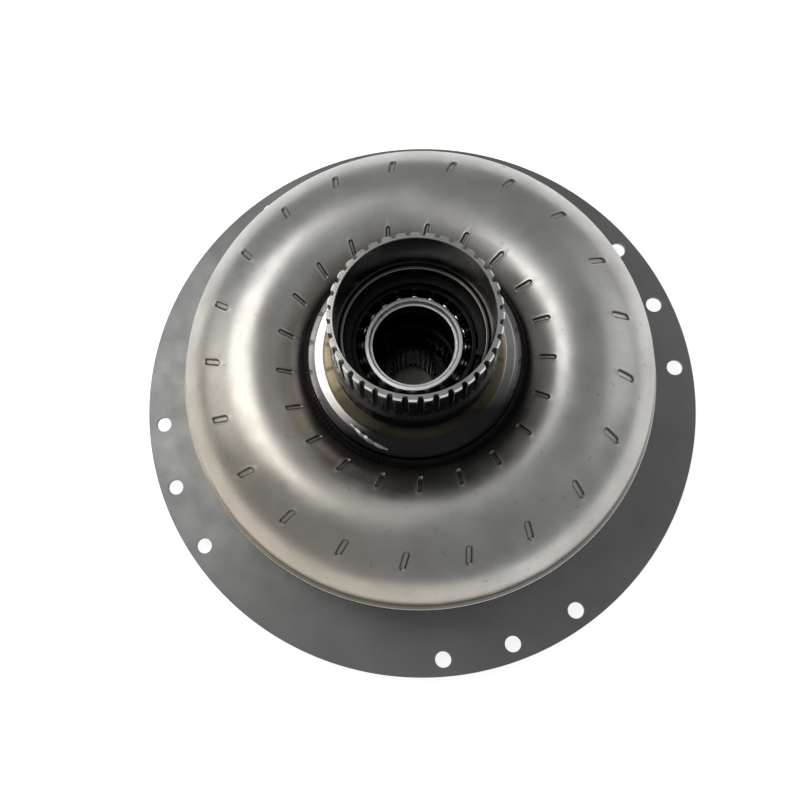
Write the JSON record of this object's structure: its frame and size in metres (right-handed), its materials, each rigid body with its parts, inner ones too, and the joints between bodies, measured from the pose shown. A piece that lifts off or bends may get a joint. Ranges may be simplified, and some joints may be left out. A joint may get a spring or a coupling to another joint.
{
  "type": "torque converter",
  "caption": "Fluid torque converter with a domed pump shell, toothed hub with a ball bearing, and a wide drilled flex plate; turbine, stator and freewheel inside.",
  "frame": {"origin": "on the axis of rotation, in the face of the flex plate that bolts to the flywheel", "axes": "+Z along the axis from the engine towards the gearbox; +X and +Y cross the flex plate, each midway between two groups of flywheel holes"},
  "size_m": [0.4159, 0.416, 0.21],
  "materials": {
    "plate_steel": "dull rolled steel with a thin oil film",
    "black_screw_steel": "black oxide",
    "pressed_steel": "satin pressed steel with faint heat tint",
    "machined_steel": "fine turned steel",
    "weld_metal": "dark rippled weld",
    "blade_steel": "plain sheet steel",
    "bearing_steel": "ground and polished",
    "cage_steel": "dark pressed steel",
    "spring_steel": "phosphated spring steel",
    "cast_aluminium": "sand cast",
    "thrust_plastic": "plain moulded"
  },
  "bodies": {
    "impeller": {"flex_plate": "plate_steel", "flex_clamp_ring": "plate_steel", "flex_plate_bolts": "black_screw_steel", "cover_bosses": "machined_steel", "front_cover": "pressed_steel", "pilot_spigot": "machined_steel", "rim_weld": "weld_metal", "pump_shell": "pressed_steel", "pump_blades": "blade_steel", "pump_core_ring": "blade_steel", "impeller_hub": "machined_steel", "hub_weld": "weld_metal", "hub_bearing_outer_ring": "bearing_steel", "hub_bearing_circlip": "spring_steel", "stator_bearing_upper_race": "bearing_steel", "turbine_bearing_lower_race": "bearing_steel"},
    "turbine": {"turbine_shell": "blade_steel", "turbine_blades": "blade_steel", "turbine_core_ring": "blade_steel", "turbine_hub": "machined_steel", "turbine_rivets": "machined_steel", "turbine_bearing_upper_race": "bearing_steel"},
    "turbine_bearing_set": {"turbine_bearing_cage": "cage_steel", "turbine_bearing_needles": "bearing_steel"},
    "stator": {"stator_wheel": "cast_aluminium", "freewheel_outer_race": "bearing_steel", "freewheel_rollers": "bearing_steel", "freewheel_springs": "spring_steel", "freewheel_lower_plate": "bearing_steel", "freewheel_upper_plate": "bearing_steel", "freewheel_lower_circlip": "spring_steel", "freewheel_upper_circlip": "spring_steel", "stator_thrust_washer": "thrust_plastic", "stator_bearing_lower_race": "bearing_steel"},
    "stator_bearing_set": {"stator_bearing_cage": "cage_steel", "stator_bearing_needles": "bearing_steel"},
    "freewheel_inner": {"freewheel_inner_race": "bearing_steel"},
    "hub_bearing_inner": {"hub_bearing_inner_ring": "bearing_steel"},
    "hub_bearing_set": {"hub_bearing_cage": "cage_steel", "hub_bearing_balls": "bearing_steel"}
  },
  "joints": [
    {"name": "turbine_spin", "type": "hinge", "parent": "impeller", "child": "turbine", "pos_m": [0, 0, 0.055], "axis": [0, 0, 1], "continuous": true},
    {"name": "turbine_bearing_cage_spin", "type": "hinge", "parent": "impeller", "child": "turbine_bearing_set", "pos_m": [0, 0, 0.0365], "axis": [0, 0, 1], "continuous": true},
    {"name": "stator_spin", "type": "hinge", "parent": "impeller", "child": "stator", "pos_m": [0, 0, 0.08], "axis": [0, 0, 1], "continuous": true},
    {"name": "stator_bearing_cage_spin", "type": "hinge", "parent": "impeller", "child": "stator_bearing_set", "pos_m": [0, 0, 0.1015], "axis": [0, 0, 1], "continuous": true},
    {"name": "freewheel_spin", "type": "hinge", "parent": "stator", "child": "freewheel_inner", "pos_m": [0, 0, 0.0795], "axis": [0, 0, 1], "continuous": true},
    {"name": "hub_bearing_spin", "type": "hinge", "parent": "impeller", "child": "hub_bearing_inner", "pos_m": [0, 0, 0.134], "axis": [0, 0, 1], "continuous": true},
    {"name": "hub_bearing_cage_spin", "type": "hinge", "parent": "impeller", "child": "hub_bearing_set", "pos_m": [0, 0, 0.134], "axis": [0, 0, 1], "continuous": true}
  ],
  "couplings": [
    {"joint": "turbine_bearing_cage_spin", "follows": "turbine_spin", "ratio": 0.5},
    {"joint": "stator_bearing_cage_spin", "follows": "stator_spin", "ratio": 0.5},
    {"joint": "hub_bearing_cage_spin", "follows": "hub_bearing_spin", "ratio": 0.4385}
  ]
}
